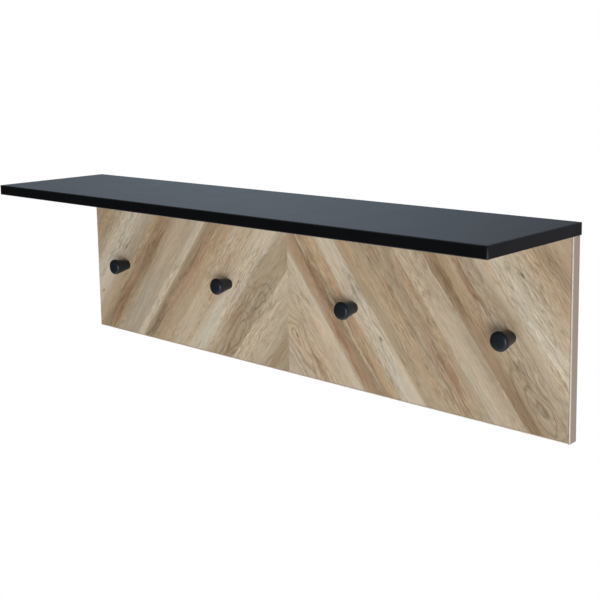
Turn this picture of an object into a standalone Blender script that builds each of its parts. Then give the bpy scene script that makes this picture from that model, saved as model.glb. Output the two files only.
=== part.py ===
"""Wall hook rack: a black shelf on an oak-faced back panel with four turned coat pegs.

The origin is the middle of the panel's rear face, which lies on the wall.
+X runs along the rack, +Y points into the wall and +Z points up.
"""

from math import cos, pi, radians, sin, tan

import bmesh
import bpy
from mathutils import Vector

# Driving dimensions, in metres.
SHELF_LENGTH = 0.900
SHELF_DEPTH = 0.195
BOARD_THICKNESS = 0.015
PANEL_HEIGHT = 0.245
END_OVERHANG = 0.002
BAND_THICKNESS = 0.002
ARRIS_RADIUS = 0.0015
LAMINATE_THICKNESS = 0.0008
GAP = 0.0003

PEG_COUNT = 4
PEG_PITCH = 0.245
PEG_DROP = 0.130
PEG_LENGTH = 0.0305
PEG_TIP_RADIUS = 0.0125
PEG_FOOT_RADIUS = 0.0076
PEG_FOOT_CHAMFER = 0.0004
PEG_RIM_RADIUS = 0.0042
PEG_DOME_ANGLE = radians(12)
PEG_THREAD_DEPTH = 0.013
DRILL_POINT_ANGLE = radians(31)

PEG_SCREW_RADIUS = 0.002
PEG_SCREW_HEAD_RADIUS = 0.004
PEG_SCREW_LENGTH = 0.025
PEG_SCREW_SINK = 0.0006
PEG_SCREW_RECESS = 0.0014
SCREW_CLEARANCE = 0.0005
# A cross recess is this wide and this long, as shares of its screw's head radius.
CROSS_WIDTH = 0.28
CROSS_SPAN = 1.5

CAM_POSITIONS = (-0.400, -0.135, 0.135, 0.400)
CAM_DROP = 0.034
CAM_RADIUS = 0.0072
CAM_LENGTH = 0.0112
CAM_SINK = 0.0005
CAM_CHAMFER = 0.0003
CAM_CHAMBER_DEPTH = 0.004
CAM_RECESS = (0.0072, 0.0014, 0.0018)
BOLT_THREAD_LENGTH = 0.0105
BOLT_THREAD_RADIUS = 0.0025
BOLT_SHAFT_RADIUS = 0.003
BOLT_NECK_RADIUS = 0.002
BOLT_HEAD_RADIUS = 0.0034
BOLT_CHAMFER = 0.0008
BOLT_TIP_LENGTH = 0.0012
BOLT_SHOULDER = 0.0006
BOLT_HEAD_RISE = 0.0015
BOLT_HEAD_HEIGHT = 0.005
BOLT_HEAD_RIM = (0.001, 0.003)
BOLT_HEAD_END_RADIUS = 0.002
BOLT_CLEARANCE = 0.001

DOWEL_POSITIONS = (-0.350, 0.0, 0.350)
DOWEL_RADIUS = 0.004
DOWEL_LENGTH = 0.030
DOWEL_CHAMFER = 0.001
DOWEL_IN_SHELF = 0.0105

HANGER_SPACING = 0.600
HANGER_HEIGHT = 0.065
HANGER_RADIUS = 0.009
HANGER_HALF_STRAIGHT = 0.019
HANGER_THICKNESS = 0.0015
HANGER_SCREW_OFFSET = 0.021
HANGER_SCREW_RADIUS = 0.0015
HANGER_SCREW_HEAD_RADIUS = 0.00315
HANGER_SCREW_LENGTH = 0.010
HANGER_SCREW_RECESS = 0.0009
HANGER_COUNTERSINK_CLEARANCE = 0.0006
KEYHOLE_ENTRY_RADIUS = 0.0045
KEYHOLE_SLOT_RADIUS = 0.0025
KEYHOLE_BOTTOM = -0.007
KEYHOLE_TOP = 0.0075
POCKET_RADIUS = 0.006
POCKET_DEPTH = 0.010

# Sizes that follow from them.
SHELF_UNDERSIDE = PANEL_HEIGHT / 2
PANEL_TOP = SHELF_UNDERSIDE - GAP
PANEL_BOTTOM = -PANEL_HEIGHT / 2
PANEL_HALF_LENGTH = SHELF_LENGTH / 2 - END_OVERHANG
CORE_HALF_LENGTH = PANEL_HALF_LENGTH - BAND_THICKNESS - GAP
CORE_BOTTOM = PANEL_BOTTOM + BAND_THICKNESS + GAP
CORE_THICKNESS = BOARD_THICKNESS - LAMINATE_THICKNESS - GAP
BOARD_MIDDLE = BOARD_THICKNESS / 2
PEG_HEIGHT = SHELF_UNDERSIDE - PEG_DROP
CAM_HEIGHT = SHELF_UNDERSIDE - CAM_DROP
CAM_AXIS_DEPTH = BOARD_MIDDLE - CAM_SINK

# How far a cutter runs past the face that it cuts: a straight one, and a cone.
PAST = 0.003
OVER = 0.0005

SMOOTH_ANGLE = radians(35)

# Turns a piece made upright, so that its top faces the wall or its top faces the room.
TOP_TO_WALL = (-pi / 2, 0.0, 0.0)
TOP_TO_ROOM = (pi / 2, 0.0, 0.0)

for old in list(bpy.data.objects):
    bpy.data.objects.remove(old, do_unlink=True)

PARTS = bpy.data.collections.new("wall_hook_rack")
CUTTERS = bpy.data.collections.new("cutters")
for collection in (PARTS, CUTTERS):
    bpy.context.scene.collection.children.link(collection)

RACK = bpy.data.objects.new("rack", None)
PARTS.objects.link(RACK)


def make_material(name, colour, roughness, metallic=0.0):
    material = bpy.data.materials.new(name)
    material.use_nodes = True
    shader = material.node_tree.nodes["Principled BSDF"]
    shader.inputs["Base Color"].default_value = (*colour, 1.0)
    shader.inputs["Roughness"].default_value = roughness
    shader.inputs["Metallic"].default_value = metallic
    return material


BLACK_MELAMINE = make_material("black_melamine", (0.020, 0.021, 0.024), 0.38)
BLACK_EDGING = make_material("black_edging", (0.012, 0.012, 0.014), 0.45)
CHIPBOARD = make_material("chipboard", (0.46, 0.36, 0.25), 0.80)
OAK_LAMINATE = make_material("oak_laminate", (0.47, 0.38, 0.27), 0.50)
TAUPE_EDGING = make_material("taupe_edging", (0.30, 0.25, 0.21), 0.50)
BLACK_LACQUER = make_material("black_lacquer", (0.012, 0.013, 0.015), 0.35)
ZINC_STEEL = make_material("zinc_steel", (0.60, 0.61, 0.62), 0.35, 1.0)
DIE_CAST_ZINC = make_material("die_cast_zinc", (0.48, 0.49, 0.50), 0.48, 1.0)
BEECH = make_material("beech", (0.62, 0.45, 0.28), 0.65)


def add_part(name, mesh, material, location=(0, 0, 0), rotation=(0, 0, 0)):
    part = bpy.data.objects.new(name, mesh)
    PARTS.objects.link(part)
    part.parent = RACK
    part.location = location
    part.rotation_euler = rotation
    if not mesh.materials:
        mesh.materials.append(material)
    return part


def add_cutter(name, mesh, location=(0, 0, 0), rotation=(0, 0, 0)):
    cutter = bpy.data.objects.new(name, mesh)
    CUTTERS.objects.link(cutter)
    cutter.location = location
    cutter.rotation_euler = rotation
    cutter.hide_render = True
    cutter.display_type = "WIRE"
    return cutter


def cut(part, cutter):
    boolean = part.modifiers.new(cutter.name, "BOOLEAN")
    boolean.operation = "DIFFERENCE"
    boolean.solver = "EXACT"
    boolean.object = cutter


def box_mesh(name, size):
    shape = bmesh.new()
    bmesh.ops.create_cube(shape, size=1.0)
    bmesh.ops.scale(shape, vec=size, verts=shape.verts)
    mesh = bpy.data.meshes.new(name)
    shape.to_mesh(mesh)
    shape.free()
    return mesh


def capsule_mesh(name, radius, low, high, thickness, segments=24):
    """A plate with round ends in the XZ plane; the end centres are at z = low and high."""
    shape = bmesh.new()
    bmesh.ops.create_cone(shape, cap_ends=True, segments=segments, radius1=radius,
                          radius2=radius, depth=thickness)
    bmesh.ops.rotate(shape, matrix=Vector((0, 0, 1)).rotation_difference(
        Vector((0, 1, 0))).to_matrix(), verts=shape.verts)
    bmesh.ops.rotate(shape, matrix=Vector((1, 0, 0)).rotation_difference(
        Vector((cos(pi / segments), 0, sin(pi / segments)))).to_matrix(), verts=shape.verts)
    for vertex in shape.verts:
        vertex.co.z += high if vertex.co.z > 0 else low
    mesh = bpy.data.meshes.new(name)
    shape.to_mesh(mesh)
    shape.free()
    return mesh


def profile_mesh(name, profile):
    """The outline of a turned piece: (radius, height) points from its top to its bottom."""
    mesh = bpy.data.meshes.new(name)
    points = [(radius, 0.0, height) for radius, height in profile]
    mesh.from_pydata(points, [(i, i + 1) for i in range(len(points) - 1)], [])
    return mesh


def turn(part, steps):
    screw = part.modifiers.new("turned", "SCREW")
    screw.axis = "Z"
    screw.steps = steps
    screw.render_steps = steps
    screw.use_merge_vertices = True
    screw.merge_threshold = 0.00001
    screw.use_smooth_shade = False


def finished_mesh(part, name, *cutters):
    """Takes a pattern piece and its cutters away and leaves the mesh that they make."""
    graph = bpy.context.evaluated_depsgraph_get()
    mesh = bpy.data.meshes.new_from_object(part.evaluated_get(graph))
    mesh.name = name
    mesh.shade_smooth()
    mesh.set_sharp_from_angle(angle=SMOOTH_ANGLE)
    for used in (part, *cutters):
        bpy.data.objects.remove(used, do_unlink=True)
    return mesh


def turned_mesh(name, profile, steps, material):
    pattern = add_part(name, profile_mesh(name, profile), material)
    turn(pattern, steps)
    return finished_mesh(pattern, name)


def turned_cutter(name, profile, location, rotation=(0, 0, 0), steps=16):
    cutter = add_cutter(name, profile_mesh(name, profile), location, rotation)
    turn(cutter, steps)
    return cutter


def plain_hole(radius, top, bottom):
    return [(0.0, top), (radius, top), (radius, bottom), (0.0, bottom)]


def round_outer_edges(part, outward):
    """Rounds the four edges of a box's face that looks along outward."""
    mesh = part.data
    reach = max(vertex.co.dot(outward) for vertex in mesh.vertices)
    weights = mesh.attributes.new("bevel_weight_edge", "FLOAT", "EDGE")
    for edge in mesh.edges:
        ends = [mesh.vertices[index].co.dot(outward) for index in edge.vertices]
        weights.data[edge.index].value = 1.0 if min(ends) > reach - GAP else 0.0
    bevel = part.modifiers.new("rounded edges", "BEVEL")
    bevel.limit_method = "WEIGHT"
    bevel.width = ARRIS_RADIUS
    bevel.segments = 3


def add_box(name, low, high, material):
    low, high = Vector(low), Vector(high)
    return add_part(name, box_mesh(name, high - low), material, (low + high) / 2)


def shelf():
    half = SHELF_LENGTH / 2
    top = SHELF_UNDERSIDE + BOARD_THICKNESS
    board_front = -(SHELF_DEPTH - BAND_THICKNESS - GAP)
    board_end = half - BAND_THICKNESS - GAP
    board = add_box("shelf_board", (-board_end, board_front, SHELF_UNDERSIDE),
                    (board_end, 0, top), BLACK_MELAMINE)
    front = add_box("shelf_edge_front", (-half, -SHELF_DEPTH, SHELF_UNDERSIDE),
                    (half, board_front - GAP, top), BLACK_EDGING)
    round_outer_edges(front, Vector((0, -1, 0)))
    for name, side in (("shelf_edge_left", -1), ("shelf_edge_right", 1)):
        inner, outer = sorted((side * (board_end + GAP), side * half))
        band = add_box(name, (inner, board_front, SHELF_UNDERSIDE), (outer, 0, top),
                       BLACK_EDGING)
        round_outer_edges(band, Vector((side, 0, 0)))

    for number, x in enumerate(CAM_POSITIONS, 1):
        cut(board, turned_cutter(
            f"shelf_bolt_hole_{number}",
            plain_hole(BOLT_THREAD_RADIUS + GAP, BOLT_THREAD_LENGTH + 2 * GAP, -PAST),
            (x, -BOARD_MIDDLE, SHELF_UNDERSIDE)))
    for number, x in enumerate(DOWEL_POSITIONS, 1):
        cut(board, turned_cutter(
            f"shelf_dowel_hole_{number}",
            plain_hole(DOWEL_RADIUS + GAP, DOWEL_IN_SHELF + 2 * GAP, -PAST),
            (x, -BOARD_MIDDLE, SHELF_UNDERSIDE)))


def peg_places():
    first = -PEG_PITCH * (PEG_COUNT - 1) / 2
    return [first + PEG_PITCH * index for index in range(PEG_COUNT)]


def hanger_places():
    return (("left", -HANGER_SPACING / 2), ("right", HANGER_SPACING / 2))


def hanger_screw_places():
    places = []
    for _, x in hanger_places():
        for side in (1, -1):
            places.append((x, HANGER_HEIGHT + side * HANGER_SCREW_OFFSET))
    return places


def panel():
    half = PANEL_HALF_LENGTH
    core = add_box("back_panel", (-CORE_HALF_LENGTH, -CORE_THICKNESS, CORE_BOTTOM),
                   (CORE_HALF_LENGTH, 0, PANEL_TOP), CHIPBOARD)
    laminate = add_box("front_laminate", (-CORE_HALF_LENGTH, -BOARD_THICKNESS, CORE_BOTTOM),
                       (CORE_HALF_LENGTH, -BOARD_THICKNESS + LAMINATE_THICKNESS, PANEL_TOP),
                       OAK_LAMINATE)
    for name, side in (("panel_edge_left", -1), ("panel_edge_right", 1)):
        inner, outer = sorted((side * (CORE_HALF_LENGTH + GAP), side * half))
        band = add_box(name, (inner, -BOARD_THICKNESS, PANEL_BOTTOM), (outer, 0, PANEL_TOP),
                       TAUPE_EDGING)
        round_outer_edges(band, Vector((side, 0, 0)))
    bottom = add_box("panel_edge_bottom", (-CORE_HALF_LENGTH, -BOARD_THICKNESS, PANEL_BOTTOM),
                     (CORE_HALF_LENGTH, 0, CORE_BOTTOM - GAP), TAUPE_EDGING)
    round_outer_edges(bottom, Vector((0, 0, -1)))

    hole = PEG_SCREW_RADIUS + SCREW_CLEARANCE
    sunk = PEG_SCREW_HEAD_RADIUS + PEG_SCREW_SINK + SCREW_CLEARANCE
    screw_hole = [(0.0, OVER), (sunk + OVER, OVER), (hole, hole - sunk),
                  (hole, -BOARD_THICKNESS - PAST), (0.0, -BOARD_THICKNESS - PAST)]
    for number, x in enumerate(peg_places(), 1):
        cutter = turned_cutter(f"peg_screw_hole_{number}", screw_hole, (x, 0, PEG_HEIGHT),
                               TOP_TO_WALL)
        cut(core, cutter)
        cut(laminate, cutter)

    for number, x in enumerate(CAM_POSITIONS, 1):
        cut(core, turned_cutter(
            f"cam_bore_{number}",
            plain_hole(CAM_RADIUS + GAP, PAST, -(CAM_SINK + CAM_LENGTH + GAP)),
            (x, 0, CAM_HEIGHT), TOP_TO_WALL, 24))
        cut(core, turned_cutter(
            f"cam_bolt_hole_{number}",
            plain_hole(BOLT_SHAFT_RADIUS + BOLT_CLEARANCE, CAM_DROP + PAST, 0.0),
            (x, -BOARD_MIDDLE, CAM_HEIGHT)))
    for number, x in enumerate(DOWEL_POSITIONS, 1):
        depth = DOWEL_LENGTH - DOWEL_IN_SHELF + 2 * GAP
        cut(core, turned_cutter(
            f"panel_dowel_hole_{number}", plain_hole(DOWEL_RADIUS + GAP, PAST, -depth),
            (x, -BOARD_MIDDLE, PANEL_TOP)))

    recess_depth = GAP + HANGER_THICKNESS + GAP
    for name, x in hanger_places():
        cut(core, add_cutter(
            f"hanger_recess_{name}",
            capsule_mesh("hanger_recess", HANGER_RADIUS + GAP, -HANGER_HALF_STRAIGHT,
                         HANGER_HALF_STRAIGHT, 2 * recess_depth),
            (x, 0, HANGER_HEIGHT)))
        cut(core, add_cutter(
            f"hanger_pocket_{name}",
            capsule_mesh("hanger_pocket", POCKET_RADIUS, KEYHOLE_BOTTOM, KEYHOLE_TOP,
                         2 * POCKET_DEPTH),
            (x, 0, HANGER_HEIGHT)))
    for number, (x, z) in enumerate(hanger_screw_places(), 1):
        depth = HANGER_SCREW_LENGTH + 4 * GAP
        cut(core, turned_cutter(
            f"hanger_screw_hole_{number}", plain_hole(HANGER_SCREW_RADIUS + GAP, 0, -depth),
            (x, 0, z), TOP_TO_WALL))


def peg_profile():
    """A domed tip, a round rim, a taper to the foot and a blind threaded hole in the foot."""
    rim_centre_radius = PEG_TIP_RADIUS - PEG_RIM_RADIUS
    dome_edge = rim_centre_radius + PEG_RIM_RADIUS * sin(PEG_DOME_ANGLE)
    dome_radius = dome_edge / sin(PEG_DOME_ANGLE)
    rim_height = (PEG_LENGTH - dome_radius * (1 - cos(PEG_DOME_ANGLE))
                  - PEG_RIM_RADIUS * cos(PEG_DOME_ANGLE))
    taper_angle = (PEG_TIP_RADIUS - PEG_FOOT_RADIUS) / rim_height
    thread = PEG_SCREW_RADIUS + GAP

    profile = []
    for step in range(3):
        angle = PEG_DOME_ANGLE * step / 3
        profile.append((dome_radius * sin(angle),
                        PEG_LENGTH - dome_radius * (1 - cos(angle))))
    start, end = pi / 2 - PEG_DOME_ANGLE, -taper_angle
    for step in range(6):
        angle = start + (end - start) * step / 5
        profile.append((rim_centre_radius + PEG_RIM_RADIUS * cos(angle),
                        rim_height + PEG_RIM_RADIUS * sin(angle)))
    profile += [
        (PEG_FOOT_RADIUS, PEG_FOOT_CHAMFER),
        (PEG_FOOT_RADIUS - PEG_FOOT_CHAMFER, 0.0),
        (thread, 0.0),
        (thread, PEG_THREAD_DEPTH),
        (0.0, PEG_THREAD_DEPTH + thread * tan(DRILL_POINT_ANGLE)),
    ]
    return profile


def pegs():
    mesh = turned_mesh("peg", peg_profile(), 32, BLACK_LACQUER)
    for number, x in enumerate(peg_places(), 1):
        add_part(f"peg_{number}", mesh, BLACK_LACQUER,
                 (x, -BOARD_THICKNESS - GAP, PEG_HEIGHT), TOP_TO_ROOM)


def countersunk_screw_mesh(name, head, shank, length, recess):
    """The head's flat face is at z = 0, and a cross recess is cut into it."""
    point = 0.8 * shank
    profile = [(0.0, 0.0), (head, 0.0), (shank, shank - head), (shank, point - length),
               (shank - point, -length), (0.0, -length)]
    pattern = add_part(name, profile_mesh(name, profile), ZINC_STEEL)
    turn(pattern, 16)
    return with_cross_recess(pattern, name, CROSS_SPAN * head, CROSS_WIDTH * head, recess)


def with_cross_recess(pattern, name, span, width, depth):
    blades = []
    for number, size in enumerate(((span, width), (width, span)), 1):
        blade = add_cutter(f"{name}_recess_{number}", box_mesh(name, (*size, 2 * depth)))
        cut(pattern, blade)
        blades.append(blade)
    return finished_mesh(pattern, name, *blades)


def peg_screws():
    mesh = countersunk_screw_mesh("peg_screw", PEG_SCREW_HEAD_RADIUS, PEG_SCREW_RADIUS,
                                  PEG_SCREW_LENGTH, PEG_SCREW_RECESS)
    for number, x in enumerate(peg_places(), 1):
        add_part(f"peg_screw_{number}", mesh, ZINC_STEEL, (x, -PEG_SCREW_SINK, PEG_HEIGHT),
                 TOP_TO_WALL)


def cam_locks():
    """Each cam is hollow at its middle, where its claws hold the bolt's head."""
    profile = [(0.0, 0.0), (CAM_RADIUS - CAM_CHAMFER, 0.0), (CAM_RADIUS, -CAM_CHAMFER),
               (CAM_RADIUS, -CAM_LENGTH), (0.0, -CAM_LENGTH)]
    pattern = add_part("cam_lock", profile_mesh("cam_lock", profile), DIE_CAST_ZINC)
    turn(pattern, 24)
    claw_height = BOLT_HEAD_RISE + GAP
    bolt_side = (pi / 2, 0.0, 0.0)
    neck = turned_cutter("claw_opening",
                         plain_hole(BOLT_NECK_RADIUS + GAP, CAM_RADIUS + PAST, 0.0),
                         (0, 0, -CAM_AXIS_DEPTH), bolt_side)
    chamber = turned_cutter("head_chamber",
                            plain_hole(BOLT_HEAD_RADIUS + GAP, claw_height, -CAM_CHAMBER_DEPTH),
                            (0, 0, -CAM_AXIS_DEPTH), bolt_side)
    for cutter in (neck, chamber):
        cut(pattern, cutter)
    mesh = with_cross_recess(pattern, "cam_lock", *CAM_RECESS)
    for cutter in (neck, chamber):
        bpy.data.objects.remove(cutter, do_unlink=True)
    for number, x in enumerate(CAM_POSITIONS, 1):
        add_part(f"cam_lock_{number}", mesh, DIE_CAST_ZINC, (x, -CAM_SINK, CAM_HEIGHT),
                 TOP_TO_WALL)


def cam_bolts():
    """Upright bolts; z = 0 is the shelf's underside and the heads hang inside the cams."""
    cam_top = -CAM_DROP + CAM_RADIUS
    head_top = -CAM_DROP + BOLT_HEAD_RISE
    head_bottom = head_top - BOLT_HEAD_HEIGHT
    profile = [
        (0.0, BOLT_THREAD_LENGTH),
        (BOLT_THREAD_RADIUS - BOLT_CHAMFER, BOLT_THREAD_LENGTH),
        (BOLT_THREAD_RADIUS, BOLT_THREAD_LENGTH - BOLT_TIP_LENGTH),
        (BOLT_THREAD_RADIUS, -GAP),
        (BOLT_SHAFT_RADIUS, -GAP),
        (BOLT_SHAFT_RADIUS, cam_top + 2 * BOLT_SHOULDER),
        (BOLT_NECK_RADIUS, cam_top + BOLT_SHOULDER),
        (BOLT_NECK_RADIUS, head_top),
        (BOLT_HEAD_RADIUS - BOLT_CHAMFER, head_top),
        (BOLT_HEAD_RADIUS, head_top - BOLT_HEAD_RIM[0]),
        (BOLT_HEAD_RADIUS, head_top - BOLT_HEAD_RIM[1]),
        (BOLT_HEAD_END_RADIUS, head_bottom),
        (0.0, head_bottom),
    ]
    mesh = turned_mesh("cam_bolt", profile, 16, ZINC_STEEL)
    for number, x in enumerate(CAM_POSITIONS, 1):
        add_part(f"cam_bolt_{number}", mesh, ZINC_STEEL, (x, -BOARD_MIDDLE, SHELF_UNDERSIDE))


def dowels():
    end_radius = DOWEL_RADIUS - DOWEL_CHAMFER
    profile = [(0.0, 0.0), (end_radius, 0.0), (DOWEL_RADIUS, -DOWEL_CHAMFER),
               (DOWEL_RADIUS, DOWEL_CHAMFER - DOWEL_LENGTH), (end_radius, -DOWEL_LENGTH),
               (0.0, -DOWEL_LENGTH)]
    mesh = turned_mesh("dowel", profile, 16, BEECH)
    for number, x in enumerate(DOWEL_POSITIONS, 1):
        add_part(f"dowel_{number}", mesh, BEECH,
                 (x, -BOARD_MIDDLE, SHELF_UNDERSIDE + DOWEL_IN_SHELF))


def hangers():
    """Steel keyhole plates, sunk flush into the panel's rear face."""
    pattern = add_part("hanger_plate", capsule_mesh(
        "hanger_plate", HANGER_RADIUS, -HANGER_HALF_STRAIGHT, HANGER_HALF_STRAIGHT,
        HANGER_THICKNESS), ZINC_STEEL)
    through = 4 * HANGER_THICKNESS
    entry = add_cutter("keyhole_entry", capsule_mesh(
        "keyhole_entry", KEYHOLE_ENTRY_RADIUS, KEYHOLE_BOTTOM, KEYHOLE_BOTTOM, through))
    slot = add_cutter("keyhole_slot", capsule_mesh(
        "keyhole_slot", KEYHOLE_SLOT_RADIUS, KEYHOLE_BOTTOM, KEYHOLE_TOP, through, 16))
    cutters = [entry, slot]
    face = HANGER_THICKNESS / 2
    wide = HANGER_SCREW_HEAD_RADIUS + HANGER_COUNTERSINK_CLEARANCE
    narrow = wide - HANGER_THICKNESS
    countersink = [(0.0, face + OVER), (wide + OVER, face + OVER),
                   (narrow - OVER, -face - OVER), (0.0, -face - OVER)]
    for number, z in enumerate((HANGER_SCREW_OFFSET, -HANGER_SCREW_OFFSET), 1):
        cutters.append(turned_cutter(f"plate_countersink_{number}", countersink, (0, 0, z),
                                     TOP_TO_WALL))
    for cutter in cutters:
        cut(pattern, cutter)
    plate = finished_mesh(pattern, "hanger_plate", *cutters)
    for name, x in hanger_places():
        add_part(f"hanger_plate_{name}", plate, ZINC_STEEL,
                 (x, -GAP - HANGER_THICKNESS / 2, HANGER_HEIGHT))

    screw = countersunk_screw_mesh("hanger_screw", HANGER_SCREW_HEAD_RADIUS,
                                   HANGER_SCREW_RADIUS, HANGER_SCREW_LENGTH,
                                   HANGER_SCREW_RECESS)
    for number, (x, z) in enumerate(hanger_screw_places(), 1):
        add_part(f"hanger_screw_{number}", screw, ZINC_STEEL, (x, -2 * GAP, z), TOP_TO_WALL)


shelf()
panel()
pegs()
peg_screws()
cam_locks()
cam_bolts()
dowels()
hangers()
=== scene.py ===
"""Looks for the wall hook rack: chevron oak face, black shelf, black pegs and the fittings behind."""

from math import cos, pi, radians, sin

import bmesh
import bpy
from mathutils import Matrix, Vector


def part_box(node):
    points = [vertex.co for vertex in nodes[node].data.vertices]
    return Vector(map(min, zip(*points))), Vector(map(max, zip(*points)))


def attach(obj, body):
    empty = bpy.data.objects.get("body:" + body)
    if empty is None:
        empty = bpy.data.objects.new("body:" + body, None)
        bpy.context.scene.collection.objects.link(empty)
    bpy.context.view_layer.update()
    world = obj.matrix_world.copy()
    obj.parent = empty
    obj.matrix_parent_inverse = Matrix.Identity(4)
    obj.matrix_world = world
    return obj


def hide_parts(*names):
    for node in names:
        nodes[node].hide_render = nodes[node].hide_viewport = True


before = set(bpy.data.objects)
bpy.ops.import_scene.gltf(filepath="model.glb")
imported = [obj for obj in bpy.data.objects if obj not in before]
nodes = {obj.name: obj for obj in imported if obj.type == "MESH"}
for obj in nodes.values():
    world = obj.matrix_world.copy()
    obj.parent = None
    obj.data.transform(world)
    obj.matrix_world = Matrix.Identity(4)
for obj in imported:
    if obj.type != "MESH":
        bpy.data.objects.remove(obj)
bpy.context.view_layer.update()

MM = 0.001
MERGE = 0.01 * MM
# The glued joints of the CAD are 0.3 mm gaps. Visible pieces close most of each one.
GLUE_GAP = 0.25 * MM


# --- Node graphs -------------------------------------------------------------------------------

class Graph:
    """A node tree that short calls build. Any input is a number, a colour or another output."""

    def __init__(self, tree):
        self.tree = tree

    def node(self, kind, inputs=(), out=0, **settings):
        made = self.tree.nodes.new("ShaderNode" + kind)
        for name, value in settings.items():
            setattr(made, name, value)
        for key, value in dict(inputs).items():
            self.feed(made.inputs[key], value)
        return made.outputs[out]

    def feed(self, socket, value):
        if isinstance(value, bpy.types.NodeSocket):
            self.tree.links.new(value, socket)
        else:
            socket.default_value = value

    def math(self, operation, *values):
        return self.node("Math", enumerate(values), operation=operation)

    def product(self, first, *others):
        for other in others:
            first = self.math("MULTIPLY", first, other)
        return first

    def vector(self, operation, *values, out=0):
        return self.node("VectorMath", enumerate(values), out, operation=operation)

    def span(self, value, low, high, to_low=0.0, to_high=1.0, kind="LINEAR"):
        """value, moved from the range low..high to the range to_low..to_high and kept in it."""
        return self.node("MapRange", ((0, value), (1, low), (2, high), (3, to_low),
                                      (4, to_high)), interpolation_type=kind)

    def step(self, value, low, high):
        """0 below low, 1 above high, and smooth between them."""
        return self.span(value, low, high, kind="SMOOTHSTEP")

    def scaled(self, vector, by):
        return self.node("Mapping", {"Vector": vector, "Scale": by})

    def noise(self, vector, detail=3.0, roughness=0.5, scale=1.0):
        return self.node("TexNoise", {"Vector": vector, "Scale": scale, "Detail": detail,
                                      "Roughness": roughness})

    def cells(self, vector, scale, out="Distance", feature="F1"):
        return self.node("TexVoronoi", {"Vector": vector, "Scale": scale}, out,
                         feature=feature)

    def mix(self, share, a, b, blend="MIX"):
        return self.node("Mix", ((0, share), (6, a), (7, b)), 2, data_type="RGBA",
                         blend_type=blend)

    def ramp(self, value, stops):
        output = self.node("ValToRGB", ((0, value),))
        elements = output.node.color_ramp.elements
        elements.remove(elements[1])
        for position, colour in stops[1:]:
            elements.new(position).color = (*colour, 1.0)
        elements[0].position = stops[0][0]
        elements[0].color = (*stops[0][1], 1.0)
        return output

    def bump(self, height, depth, strength=1.0):
        return self.node("Bump", {"Height": height, "Distance": depth, "Strength": strength})


def new_material(name, **values):
    """A material and its graph; values are inputs of its shader, such as Roughness=0.4."""
    material = bpy.data.materials.new(name)
    material.use_nodes = True
    graph = Graph(material.node_tree)
    graph.material = material
    set_shader(graph, **values)
    return graph


def set_shader(graph, **values):
    shader = graph.tree.nodes["Principled BSDF"]
    for name, value in values.items():
        if isinstance(value, tuple):
            value = (*value, 1.0)
        graph.feed(shader.inputs[name.replace("_", " ")], value)


def rgb(red, green, blue):
    """A colour in display values from 0 to 255, as linear light."""
    def linear(value):
        value /= 255
        return value / 12.92 if value <= 0.04045 else ((value + 0.055) / 1.055) ** 2.4
    return linear(red), linear(green), linear(blue)


def solid(colour):
    return (*colour, 1.0)


# --- Oak chevron print -------------------------------------------------------------------------

GRAIN_TILT = radians(38)

HEART = rgb(128, 106, 81)
UMBER = rgb(138, 108, 82)
BROWN = rgb(146, 125, 99)
RUST = rgb(160, 134, 107)
ROSE = rgb(170, 140, 114)
TAN = rgb(162, 144, 118)
HONEY = rgb(170, 149, 121)
CLAY = rgb(166, 151, 130)
SAND = rgb(180, 163, 139)
CREAM = rgb(187, 174, 153)

# The printed boards of each half end at these borders, and these are the tones across them.
# Places are in mm across the grain, from the panel's middle along its centre line.
LEFT_BORDERS = (-560, -440, -340, -236, -130, -24, 110)
LEFT_TONES = (
    (-560, BROWN), (-476, TAN), (-458, TAN), (-441, CLAY), (-439, SAND), (-420, CREAM),
    (-396, CREAM), (-372, CLAY), (-350, TAN), (-341, BROWN), (-338, BROWN), (-318, BROWN),
    (-306, TAN), (-290, CLAY), (-256, CLAY), (-250, CREAM), (-237, CREAM), (-235, TAN),
    (-228, BROWN), (-212, RUST), (-198, TAN), (-176, HONEY), (-170, SAND), (-131, SAND),
    (-120, CREAM), (-96, CREAM), (-72, CLAY), (-56, TAN), (-25, TAN), (-23, CREAM), (10, SAND),
    (110, BROWN),
)
RIGHT_BORDERS = (-110, 47, 151, 251, 300, 374, 427, 560)
RIGHT_TONES = (
    (-110, SAND), (20, SAND), (46, CREAM), (48, TAN), (62, RUST), (74, BROWN), (80, BROWN),
    (82, SAND), (84, SAND), (86, BROWN), (98, HONEY), (106, HONEY), (114, CREAM), (142, CREAM),
    (150, SAND), (152, TAN), (196, HONEY), (216, TAN), (250, TAN), (252, SAND), (299, CLAY),
    (301, BROWN), (316, BROWN), (330, TAN), (376, CLAY), (388, SAND),
    (400, CREAM), (426, CREAM), (428, SAND), (446, SAND), (470, HONEY), (560, TAN),
)
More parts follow.
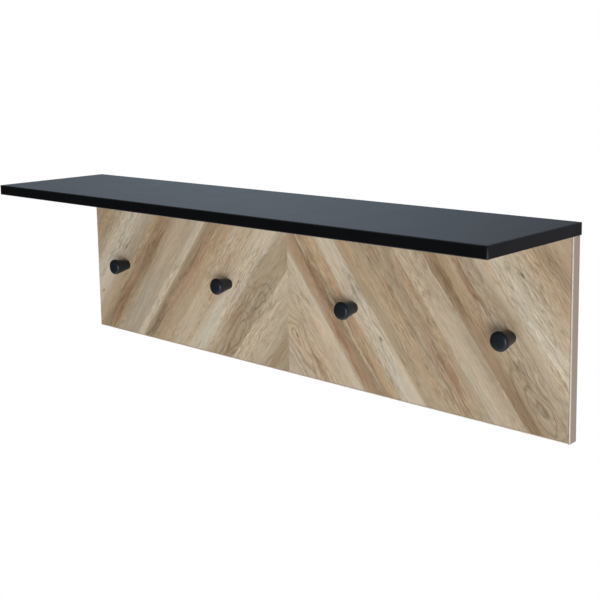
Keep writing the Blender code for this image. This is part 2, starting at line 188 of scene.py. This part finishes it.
# Streaks of darker or redder wood, as (x, z, half length, half width, tone), in mm.
LEFT_STREAKS = (
    (-301, 24, 44, 9, HEART), (-349, -32, 46, 5, UMBER), (-388, -83, 40, 8, UMBER),
    (-428, -108, 30, 9, BROWN), (-262, 84, 22, 9, BROWN), (-415, 92, 40, 9, BROWN),
    (-437, 70, 26, 5, ROSE), (-196, 6, 74, 6, ROSE), (-209, 12, 44, 3, UMBER),
    (-268, -66, 34, 4, ROSE), (-292, -92, 36, 5, HEART), (-160, 84, 26, 7, BROWN),
    (-104, -48, 36, 7, BROWN), (-24, -100, 40, 12, BROWN), (-46, 36, 40, 5, TAN),
    (-226, -60, 34, 4, TAN), (-140, -20, 34, 3, HONEY),
)
RIGHT_STREAKS = (
    (56, 22, 40, 6, UMBER), (110, -66, 50, 6, UMBER), (100, 4, 60, 3, ROSE),
    (226, 0, 70, 5, RUST), (208, -6, 50, 3, BROWN), (284, -74, 44, 5, UMBER),
    (262, -62, 40, 3, ROSE), (150, 62, 26, 8, BROWN), (212, 40, 30, 5, ROSE),
    (272, 46, 40, 6, HEART), (306, 50, 44, 5, UMBER), (378, -86, 36, 6, HEART),
    (350, 24, 30, 8, TAN), (430, 80, 30, 10, BROWN), (404, 96, 30, 5, BROWN),
    (300, -10, 60, 4, TAN), (62, -104, 30, 4, BROWN),
)
# Small knots, as (x, z), and arches of swirling grain, as (x, z, stretch up, stretch down). Here
# x and z are in mm.
LEFT_KNOTS = ((-368, 23), (-435.5, -60), (-102, -1.5))
LEFT_ARCHES = ((-50, -20, 1.5, 8), (-92, -68, 1.5, 6))
RIGHT_KNOTS = ((17.5, -63.5), (169, -43), (382.5, 69.5))
RIGHT_ARCHES = ((412, -92, 4, 2.2), (12, -62, 1.5, 5))
# A knot's half length and half width, and the distance between an arch's rings, in mm.
KNOT_SIZE = (5.0, 2.2)
ARCH_RING = 8.2
# The rings are full up to ARCH_CORE from the middle of their arch and gone at ARCH_END.
ARCH_CORE = 12 * MM
ARCH_END = 34 * MM
ARCH_SWAY = 34 * MM
ARCH_ROUGHNESS = 5 * MM
STREAK_STRENGTH = 0.72
# How far the grain bends and the tone wanders, and how far inside a board it wanders in full.
BEND = 18 * MM
DRIFT = 50 * MM
DRIFT_MARGIN = 50 * MM


def grain_axes(side):
    """Unit vectors along and across the grain of the left half (-1) or the right half (1)."""
    return (Vector((-side * sin(GRAIN_TILT), 0, cos(GRAIN_TILT))),
            Vector((cos(GRAIN_TILT), 0, side * sin(GRAIN_TILT))))


def apart(oak, side, start, x, z):
    """Vector from the point x, z of the panel to start, along and across the grain."""
    centre = Vector((x, 0, z)) * MM
    lengthwise, crosswise = (centre.dot(axis) for axis in grain_axes(side))
    return oak.vector("SUBTRACT", start, (lengthwise, crosswise, 0))


def reach(oak, side, start, x, z, length, width):
    """Distance from x, z, which is 1 on an ellipse of that half length and half width."""
    away = oak.vector("DIVIDE", apart(oak, side, start, x, z), (length * MM, width * MM, 1))
    return oak.vector("LENGTH", away, out=1)


def board_tones(oak, grain, place, edge, tones):
    """The boards' tones. What wanders inside a board stays inside its borders."""
    across = oak.node("SeparateXYZ", ((0, grain),), 1)
    inside = oak.step(edge, 0.0, DRIFT_MARGIN)
    drift = oak.math("SUBTRACT", oak.noise(oak.scaled(place, (7, 30, 1)), 4, 0.7), 0.5)
    level = oak.math("ADD", oak.math("DIVIDE", across, cos(GRAIN_TILT)),
                     oak.product(drift, inside, DRIFT))
    first, last = tones[0][0], tones[-1][0]
    level = oak.span(level, first * MM, last * MM)
    return oak.ramp(level, [((at - first) / (last - first), colour) for at, colour in tones])


def arch_rings(oak, side, flow, sway, ragged, arches):
    """Growth lines that close in arches and fade out away from them."""
    rings = 0.0
    for x, z, up, down in arches:
        u, v = (oak.node("SeparateXYZ", ((0, apart(oak, side, flow, x, z)),), axis)
                for axis in (0, 1))
        u = oak.math("MAXIMUM", oak.math("DIVIDE", u, up), oak.math("DIVIDE", u, -down))
        away = oak.vector("LENGTH", oak.node("CombineXYZ", ((0, u), (1, v))), out=1)
        away = oak.math("ADD", away, oak.math("ADD", oak.product(sway, ARCH_SWAY),
                                              oak.product(ragged, ARCH_ROUGHNESS)))
        ring = oak.step(oak.math("SINE", oak.product(away, 2 * pi / (ARCH_RING * MM))), 0.1, 1.0)
        rings = oak.math("MAXIMUM", rings,
                         oak.product(ring, oak.step(away, ARCH_END, ARCH_CORE)))
    return rings


def oak_material(name, side, tones, streaks, knots, arches):
    """Oak print. The Grain map runs along the grain in U and across it in V, both in metres."""
    oak = new_material(name)
    grain = oak.node("UVMap", uv_map="Grain")
    seed, edge = (oak.node("Attribute", out="Fac", attribute_name="board_" + mark)
                  for mark in ("seed", "edge"))
    place = oak.vector("ADD", grain, oak.node("CombineXYZ", ((2, seed),)))

    # Nothing in wood runs quite straight: all lines bend a little along the grain.
    sway = oak.math("SUBTRACT", oak.noise(oak.scaled(place, (11, 18, 1)), 3, 0.6), 0.5)
    bend = oak.node("CombineXYZ", ((1, oak.product(sway, BEND)),))
    flow, bent = (oak.vector("ADD", start, bend) for start in (grain, place))
    ragged = oak.math("SUBTRACT", oak.noise(oak.scaled(bent, (16, 240, 1)), 4, 0.7), 0.5)

    tone = board_tones(oak, grain, place, edge, tones)
    for *shape, colour in streaks:
        away = oak.math("ADD", reach(oak, side, flow, *shape), oak.product(ragged, 4.5))
        share = oak.product(oak.step(away, 1.3, 0.6), STREAK_STRENGTH)
        tone = oak.mix(share, tone, solid(colour))
    rings = arch_rings(oak, side, flow, sway, ragged, arches)
    knot = 1.0
    for centre in knots:
        away = reach(oak, side, grain, *centre, *KNOT_SIZE)
        knot = oak.math("MINIMUM", knot, oak.step(away, 0.3, 1.2))

    # Grain: broad bands, thin growth lines where a stretched noise crosses its middle, fibres
    # and short pores.
    broad = oak.noise(oak.scaled(bent, (7, 90, 1)), 5, 0.7)
    lines = oak.noise(oak.scaled(bent, (20, 380, 1)), 5, 0.75)
    fibre = oak.noise(oak.scaled(bent, (90, 1100, 1)), 3, 0.6)
    grainy = oak.noise(oak.scaled(place, (7, 26, 1)), 2)
    growth = 0.0
    for scale in ((9, 95, 1), (16, 210, 1)):
        wave = oak.noise(oak.scaled(bent, scale), 2, 0.5)
        off = oak.math("ABSOLUTE", oak.math("SUBTRACT", wave, 0.5))
        growth = oak.math("MAXIMUM", growth, oak.step(off, 0.028, 0.006))
    growth = oak.product(growth, oak.step(grainy, 0.38, 0.60))
    flecks = oak.noise(oak.scaled(bent, (75, 640, 1)), 3, 0.6)
    dark = oak.product(oak.step(flecks, 0.54, 0.66), oak.step(grainy, 0.34, 0.58))
    pale = oak.product(oak.step(flecks, 0.47, 0.35), oak.step(grainy, 0.34, 0.60))
    joint = oak.product(oak.step(edge, 1.1 * MM, 0.2 * MM), oak.step(lines, 0.35, 0.55))

    light = oak.product(
        oak.span(broad, 0.25, 0.75, 0.87, 1.13),
        oak.span(lines, 0.3, 0.7, 0.84, 1.16),
        oak.span(fibre, 0.25, 0.75, 0.86, 1.14),
        *(oak.math("SUBTRACT", 1.0, oak.product(mark, strength))
          for mark, strength in ((rings, 0.28), (growth, 0.27), (dark, 0.29), (joint, 0.22))),
        oak.math("ADD", 1.0, oak.product(pale, 0.20)),
        oak.span(knot, 0.0, 1.0, 0.45, 1.0))
    # Darker wood is warmer, and some stretches are a little warmer or cooler than the rest.
    warm = oak.span(oak.noise(oak.scaled(place, (6, 44, 2)), 3), 0.3, 0.7, -0.05, 0.05)
    shade = oak.node("CombineColor", (
        (0, oak.math("ADD", oak.math("POWER", light, 0.88), warm)), (1, light),
        (2, oak.math("SUBTRACT", oak.math("POWER", light, 1.16), warm))))
    height = oak.math("SUBTRACT", oak.product(lines, 0.5), oak.product(dark, 0.9))
    set_shader(oak, Base_Color=oak.mix(1.0, tone, shade, "MULTIPLY"),
               Roughness=oak.span(lines, 0.2, 0.8, 0.60, 0.46),
               Normal=oak.bump(height, 0.12 * MM, 0.35), Specular_IOR_Level=0.35)
    return oak.material


def oak_face():
    """The printed sheet on the panel's front, cut into its boards so that each has its grain."""
    low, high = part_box("front_laminate")
    mesh = nodes["front_laminate"].data.copy()
    mesh.name = "oak_face"
    mesh.materials.clear()
    mesh.materials.append(
        oak_material("oak_print_left", -1, LEFT_TONES, LEFT_STREAKS, LEFT_KNOTS, LEFT_ARCHES))
    mesh.materials.append(oak_material("oak_print_right", 1, RIGHT_TONES, RIGHT_STREAKS,
                                       RIGHT_KNOTS, RIGHT_ARCHES))
    shape = bmesh.new()
    shape.from_mesh(mesh)
    bmesh.ops.remove_doubles(shape, verts=shape.verts, dist=MERGE)
    for vertex in shape.verts:
        for axis in (0, 2):
            if vertex.co[axis] < low[axis] + GLUE_GAP:
                vertex.co[axis] -= GLUE_GAP
            elif vertex.co[axis] > high[axis] - GLUE_GAP:
                vertex.co[axis] += GLUE_GAP

    def cut(faces, place, normal):
        near = set(faces).union(*(f.edges for f in faces), *(f.verts for f in faces))
        bmesh.ops.bisect_plane(shape, geom=list(near), dist=0.001 * MM,
                               plane_co=(place * MM, 0, 0), plane_no=normal)

    cut(shape.faces[:], 0, (1, 0, 0))
    borders = {-1: LEFT_BORDERS, 1: RIGHT_BORDERS}
    for side in borders:
        for start, end in zip(borders[side], borders[side][1:]):
            for place in (start, (start + end) / 2):
                half = [f for f in shape.faces if side * f.calc_center_median().x > 0]
                cut(half, place, grain_axes(side)[1])
    shape.to_mesh(mesh)
    shape.free()

    mesh.uv_layers.new(name="Grain")
    for name, domain in (("board_seed", "FACE"), ("board_edge", "CORNER")):
        mesh.attributes.new(name, "FLOAT", domain)
    grain = mesh.uv_layers["Grain"].uv
    seeds, edges = (mesh.attributes["board_" + mark].data for mark in ("seed", "edge"))
    for face in mesh.polygons:
        side = 1 if face.center.x > 0 else -1
        face.material_index = 1 if side > 0 else 0
        along, across = grain_axes(side)
        place = face.center.dot(across) / across.x / MM
        number = sum(place > border for border in borders[side][1:-1])
        start, end = borders[side][number:number + 2]
        seeds[face.index].value = 1.7 * number + side
        for corner, vertex in zip(face.loop_indices, face.vertices):
            point = mesh.vertices[vertex].co
            grain[corner].vector = point.dot(along), point.dot(across)
            from_middle = point.dot(across) / across.x / MM - (start + end) / 2
            edges[corner].value = ((end - start) / 2 - abs(from_middle)) * MM
    add_piece(mesh, "oak_laminate", "front_laminate")


# --- Pieces ------------------------------------------------------------------------------------

def add_piece(mesh, slot, *replaced, location=(0, 0, 0), name=None):
    piece = bpy.data.objects.new(name or mesh.name, mesh)
    bpy.context.scene.collection.objects.link(piece)
    piece.location = location
    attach(piece, "root")
    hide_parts(*replaced)
    return piece


def mesh_from(shape, name, material):
    mesh = bpy.data.meshes.new(name)
    shape.to_mesh(mesh)
    shape.free()
    mesh.materials.append(material)
    mesh.shade_smooth()
    return mesh


def add_band(name, node, material, slot, outward, radius=1.5 * MM, inner=GLUE_GAP):
    """Edge banding with round outer arrises. Its glued side comes in by inner, to the board."""
    low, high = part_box(node)
    outward = Vector(outward)
    for axis in range(3):
        if outward[axis] > 0:
            low[axis] -= inner
        elif outward[axis] < 0:
            high[axis] += inner
    shape = bmesh.new()
    bmesh.ops.create_cube(shape, size=1.0)
    bmesh.ops.scale(shape, vec=high - low, verts=shape.verts)
    bmesh.ops.translate(shape, vec=(low + high) / 2, verts=shape.verts)
    face = max(v.co.dot(outward) for v in shape.verts)
    round_edges = [e for e in shape.edges
                   if min(v.co.dot(outward) for v in e.verts) > face - MERGE]
    bmesh.ops.bevel(shape, geom=round_edges, offset=radius, segments=6, profile=0.5,
                    affect="EDGES", clamp_overlap=True)
    piece = add_piece(mesh_from(shape, name, material), slot, node)
    piece.modifiers.new("flat faces stay flat", "WEIGHTED_NORMAL").weight = 100


def turned(name, profile, material, steps=96):
    """A turned piece; profile is its outline as (radius, height) points from top to bottom."""
    shape = bmesh.new()
    rows = []
    for radius, height in profile:
        if radius < 0.001 * MM:
            rows.append([shape.verts.new((0, 0, height))] * steps)
        else:
            rows.append([shape.verts.new((radius * cos(2 * pi * i / steps),
                                          radius * sin(2 * pi * i / steps), height))
                         for i in range(steps)])
    for upper, lower in zip(rows, rows[1:]):
        for i in range(steps):
            j = (i + 1) % steps
            ring = list(dict.fromkeys((upper[i], lower[i], lower[j], upper[j])))
            shape.faces.new(ring)
    return mesh_from(shape, name, material)


# --- Pegs --------------------------------------------------------------------------------------

PEG_FOOT = 7.6 * MM
PEG_RIM = 4.2 * MM
PEG_DOME = 12
PEG_HOLLOW = 0.15 * MM
THREAD_RADIUS = 2.3 * MM
THREAD_DEPTH = 13 * MM
THREAD_POINT = 14.4 * MM


def arc(centre, radius, start, end, count):
    """Points on an arc about centre, from the angle start to the angle end, in degrees."""
    angles = [radians(start + (end - start) * i / count) for i in range(count + 1)]
    return [(centre[0] + radius * cos(a), centre[1] + radius * sin(a)) for a in angles]


def coat_pegs():
    """Domed tip, round rim, a slightly hollow taper to the foot and a blind thread hole."""
    low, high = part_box("peg_1")
    length, rim_out = high.y - low.y, (high.x - low.x) / 2 - PEG_RIM
    dome = radians(PEG_DOME)
    dome_radius = rim_out / sin(dome) + PEG_RIM
    rim_height = length - dome_radius * (1 - cos(dome)) - PEG_RIM * cos(dome)
    profile = [(dome_radius * sin(radians(a)), length - dome_radius * (1 - cos(radians(a))))
               for a in (0, 2, 4, 6, 8, 10, 11.5)]
    profile += arc((rim_out, rim_height), PEG_RIM, 90 - PEG_DOME, -PEG_DOME, 16)
    wide, high_end = profile[-1]
    for step in (0.15, 0.3, 0.45, 0.6, 0.75, 0.9):
        hollow = 4 * PEG_HOLLOW * step * (1 - step)
        profile.append((wide + (PEG_FOOT - wide) * step - hollow,
                        high_end * (1 - step) + 0.6 * MM * step))
    profile += [(PEG_FOOT, 0.5 * MM), (PEG_FOOT - 0.12 * MM, 0.15 * MM),
                (PEG_FOOT - 0.5 * MM, 0), (THREAD_RADIUS, 0), (THREAD_RADIUS, THREAD_DEPTH),
                (0, THREAD_POINT)]
    mesh = turned("coat_peg", profile, black_lacquer())
    mesh.transform(Matrix.Rotation(pi / 2, 4, "X"))
    mesh.set_sharp_from_angle(angle=radians(40))
    for number in (1, 2, 3, 4):
        low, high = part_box(f"peg_{number}")
        add_piece(mesh, "black_lacquer", f"peg_{number}", name=f"coat_peg_{number}",
                  location=((low.x + high.x) / 2, high.y + GLUE_GAP, (low.z + high.z) / 2))


def black_lacquer():
    """Satin sprayed lacquer with a faint orange peel."""
    paint = new_material("satin_black_lacquer", Specular_IOR_Level=0.2)
    place = paint.node("TexCoord", out=3)
    peel = paint.noise(place, 2, 0.5, scale=900)
    cloud = paint.noise(place, 3, 0.6, scale=90)
    # The blue-grey tint and lift of this black is a painted bluish reflection of the room on the peg
    # faces.
    set_shader(paint, Base_Color=paint.mix(cloud, solid(rgb(20, 25, 30)), solid(rgb(26, 32, 38))),
               Roughness=paint.span(cloud, 0.3, 0.7, 0.30, 0.38),
               Normal=paint.bump(peel, 0.05 * MM, 0.25))
    return paint.material


# --- Boards and edging -------------------------------------------------------------------------

def chipboard(board, place):
    """Colour and height of raw chipboard: flat chips of many tones in pressed dust."""
    warped = board.vector("ADD", place, board.vector(
        "MULTIPLY", board.node("TexNoise", {"Vector": place, "Scale": 300, "Detail": 2}, 1),
        (0.002, 0.002, 0.002)))
    chips = board.cells(board.scaled(warped, (260, 700, 900)), 1, out="Color")
    tone = board.node("SeparateColor", ((0, chips),))
    gap = board.cells(board.scaled(warped, (260, 700, 900)), 1, feature="DISTANCE_TO_EDGE")
    dust = board.noise(place, 4, 0.7, scale=1400)
    colour = board.ramp(tone, ((0.0, rgb(142, 112, 78)), (0.35, rgb(182, 152, 112)),
                               (0.7, rgb(203, 176, 138)), (1.0, rgb(222, 200, 166))))
    shade = board.product(board.span(gap, 0.0, 0.12, 0.55, 1.0),
                          board.span(dust, 0.3, 0.7, 0.82, 1.08))
    grey = board.node("CombineColor", ((0, shade), (1, shade), (2, shade)))
    return board.mix(1.0, colour, grey, "MULTIPLY"), board.math("ADD", tone, dust)


def faced_board(name, colour_pair, roughness, rear_is_faced):
    """Board with a melamine face. Its rear edge or its bores show the raw chipboard."""
    board = new_material(name, Specular_IOR_Level=0.5)
    place = board.node("TexCoord", out=3)
    pearl = board.noise(place, 2, 0.55, scale=1500)
    cloud = board.noise(place, 4, 0.6, scale=22)
    y = board.node("SeparateXYZ", ((0, place),), 1)
    at_rear = board.math("GREATER_THAN", y, -0.05 * MM)
    raw = board.math("SUBTRACT", 1.0, at_rear) if rear_is_faced else at_rear
    chip_colour, chip_height = chipboard(board, place)
    face_colour = board.mix(cloud, *(solid(colour) for colour in colour_pair))
    height = board.node("Mix", ((0, raw), (2, board.product(pearl, 0.15)), (3, chip_height)),
                        data_type="FLOAT")
    rough = board.span(cloud, 0.2, 0.8, *roughness)
    rough = board.node("Mix", ((0, raw), (2, rough), (3, 0.9)), data_type="FLOAT")
    set_shader(board, Base_Color=board.mix(raw, face_colour, chip_colour), Roughness=rough,
               Normal=board.bump(height, 0.15 * MM, 0.3))
    return board.material


def edging(name, colour_pair, roughness, specular, scraped_and_lit_arris_colour, stretch):
    """Plastic edge banding: drawn lines along it, and paler on the round arris: partly scraped
    plastic and partly a painted highlight.
    """
    band = new_material(name, Specular_IOR_Level=specular)
    place = band.node("TexCoord", out=3)
    drawn = band.noise(band.scaled(place, stretch), 3, 0.6)
    cloud = band.noise(place, 3, 0.6, scale=30)
    arris_patchiness = band.noise(place, 4, 0.7, scale=160)
    bend = band.node("NewGeometry", out=7)
    # The round arrises (high pointiness) take the lighter arris colour, broken up by noise: a painted
    # highlight along the edges, partly scraped plastic.
    scraped_and_lit_arris = band.product(band.step(bend, 0.52, 0.60), band.span(arris_patchiness, 0.3, 0.7, 0.5, 1.0))
    colour = band.mix(drawn, *(solid(colour) for colour in colour_pair))
    set_shader(band, Base_Color=band.mix(scraped_and_lit_arris, colour, solid(scraped_and_lit_arris_colour)),
               Roughness=band.span(cloud, 0.3, 0.7, *roughness),
               Normal=band.bump(drawn, 0.06 * MM, 0.3))
    return band.material


def bands():
    # rgb(66, 68, 72) is a painted highlight along the black arrises.
    black = edging("black_abs_edging", (rgb(1, 1, 2), rgb(4, 4, 5)), (0.40, 0.46), 0.2,
                   rgb(66, 68, 72), (20, 20, 2600))
    for side, outward in (("front", (0, -1, 0)), ("left", (-1, 0, 0)), ("right", (1, 0, 0))):
        add_band(f"shelf_band_{side}", f"shelf_edge_{side}", black, "black_edging", outward)
    # rgb(200, 187, 172) is the paler arris of the taupe band: partly scraped plastic, partly a
    # painted highlight.
    taupe = edging("taupe_abs_edging", (rgb(143, 130, 116), rgb(156, 144, 131)), (0.50, 0.60),
                   0.3, rgb(200, 187, 172), (1600, 1600, 14))
    for side, outward in (("left", (-1, 0, 0)), ("right", (1, 0, 0)), ("bottom", (0, 0, -1))):
        add_band(f"panel_band_{side}", f"panel_edge_{side}", taupe, "taupe_edging", outward)


# --- Fittings ----------------------------------------------------------------------------------

def metal(name, colour_pair, roughness, grain_scale, bump):
    """Plated or cast metal: clouded colour, uneven gloss and a fine surface."""
    part = new_material(name, Metallic=1.0)
    place = part.node("TexCoord", out=3)
    cloud = part.noise(place, 3, 0.6, scale=180)
    fine = part.noise(place, 3, 0.6, scale=grain_scale)
    set_shader(part, Base_Color=part.mix(cloud, *(solid(colour) for colour in colour_pair)),
               Roughness=part.span(fine, 0.3, 0.7, *roughness),
               Normal=part.bump(fine, bump, 0.3))
    return part.material


def beech():
    wood = new_material("beech_wood", Specular_IOR_Level=0.3)
    place = wood.node("TexCoord", out=3)
    fibre = wood.noise(wood.scaled(place, (900, 900, 60)), 3, 0.6)
    flecks = wood.step(wood.noise(wood.scaled(place, (1500, 1500, 260)), 1), 0.60, 0.70)
    colour = wood.mix(fibre, solid(rgb(196, 158, 116)), solid(rgb(220, 188, 146)))
    set_shader(wood, Base_Color=wood.mix(wood.product(flecks, 0.5), colour,
                                         solid(rgb(160, 116, 78))),
               Roughness=wood.span(fibre, 0.3, 0.7, 0.55, 0.7),
               Normal=wood.bump(fibre, 0.1 * MM, 0.4))
    return wood.material


def dress_frame():
    """Gives every CAD node that stays in view its finish."""
    zinc = metal("bright_zinc_plate", (rgb(164, 168, 174), rgb(192, 193, 188)), (0.36, 0.50),
                 2600, 0.02 * MM)
    cast = metal("die_cast_zinc_alloy", (rgb(150, 151, 152), rgb(178, 179, 180)), (0.42, 0.62),
                 1800, 0.05 * MM)
    finishes = {
        "shelf_board": faced_board("black_melamine_board", (rgb(15, 16, 18), rgb(19, 20, 22)),
                                   (0.37, 0.40), rear_is_faced=False),
        "back_panel": faced_board("panel_rear_melamine", (rgb(186, 172, 154), rgb(196, 183, 166)),
                                  (0.50, 0.60), rear_is_faced=True),
        "peg_screw": zinc, "cam_lock": cast, "cam_bolt": zinc, "dowel": beech(),
        "hanger_plate": zinc, "hanger_screw": zinc,
    }
    for name, node in nodes.items():
        for start, material in finishes.items():
            if name.startswith(start):
                node.data.materials.clear()
                node.data.materials.append(material)


# --- Stage, light and camera -------------------------------------------------------------------

FLOOR_DROP = 2.2
FLOOR_RADIUS = 3.2
ROOM_LIGHT = (0.045, 0.047, 0.05)
# Broad glows in the room, as (direction, sharpness, colour).
GLOWS = (
    ((-0.71, 0.66, 0.30), 18.0, (0.47, 0.57, 0.69)),
    ((-0.20, 0.40, 0.90), 10.0, (0.85, 0.90, 0.96)),
    ((0.70, 0.72, -0.05), 7.0, (0.64, 0.61, 0.69)),
    ((-0.66, -0.73, -0.15), 6.0, (0.02, 0.035, 0.05)),
    ((0.60, -0.72, -0.30), 8.0, (2.3, 2.27, 2.22)),
)
CAMERA_PLACE = (1.0292, -1.0898, 0.3253)
CAMERA_TURN, CAMERA_TILT, CAMERA_ROLL = radians(43.02), radians(8.05), radians(-0.95)
SENSOR, LENS, SHIFT_Y = 36.0, 63.85, -0.15


def add_floor():
    shape = bmesh.new()
    bmesh.ops.create_circle(shape, cap_ends=True, radius=FLOOR_RADIUS, segments=96)
    pale = new_material("pale_floor", Base_Color=(0.9, 0.9, 0.9), Roughness=0.9,
                        Emission_Color=(1.0, 1.0, 1.0), Emission_Strength=1.0)
    floor = bpy.data.objects.new("floor", mesh_from(shape, "floor", pale.material))
    floor.location.z = -FLOOR_DROP
    bpy.context.scene.collection.objects.link(floor)


def add_world():
    """White to the camera. The rack is lit by a dim room with a few broad, soft glows."""
    world = bpy.data.worlds.new("studio")
    bpy.context.scene.world = world
    world.use_nodes = True
    sky = Graph(world.node_tree)
    towards = sky.node("TexCoord", out=0)
    light = ROOM_LIGHT
    for direction, sharpness, colour in GLOWS:
        facing = sky.math("MAXIMUM", sky.vector(
            "DOT_PRODUCT", towards, Vector(direction).normalized(), out=1), 0.0)
        glow = sky.node("VectorMath", ((0, colour), (3, sky.math("POWER", facing, sharpness))),
                        operation="SCALE")
        light = sky.vector("ADD", light, glow)
    seen = sky.node("LightPath", out=0)
    colour = sky.mix(seen, light, solid((1.0, 1.0, 1.0)))
    world.node_tree.links.new(colour, world.node_tree.nodes["Background"].inputs[0])


def add_lamp(name, place, size, power):
    """A square lamp that points at the rack."""
    lamp = bpy.data.lights.new(name, "AREA")
    lamp.size, lamp.energy = size, power
    holder = bpy.data.objects.new(name, lamp)
    holder.location = place
    holder.rotation_euler = (-holder.location).to_track_quat("-Z", "Y").to_euler()
    bpy.context.scene.collection.objects.link(holder)


def add_camera():
    forward = Vector((-sin(CAMERA_TURN) * cos(CAMERA_TILT),
                      cos(CAMERA_TURN) * cos(CAMERA_TILT), -sin(CAMERA_TILT)))
    level = forward.cross(Vector((0, 0, 1))).normalized()
    upright = level.cross(forward)
    right = level * cos(CAMERA_ROLL) + upright * sin(CAMERA_ROLL)
    up = upright * cos(CAMERA_ROLL) - level * sin(CAMERA_ROLL)
    camera = bpy.data.cameras.new("camera")
    camera.sensor_width, camera.lens, camera.shift_y = SENSOR, LENS, SHIFT_Y
    holder = bpy.data.objects.new("camera", camera)
    turned_axes = Matrix((right, up, -forward)).transposed().to_4x4()
    holder.matrix_world = Matrix.Translation(CAMERA_PLACE) @ turned_axes
    bpy.context.scene.collection.objects.link(holder)
    bpy.context.scene.camera = holder


bpy.context.scene.view_settings.view_transform = "Standard"
oak_face()
bands()
coat_pegs()
dress_frame()
add_floor()
add_world()
add_lamp("key", (5.2, -5.4, -0.4), size=2.9, power=385)
add_lamp("rear", (-2.2, 4.8, -4.0), size=4.5, power=280)
add_camera()
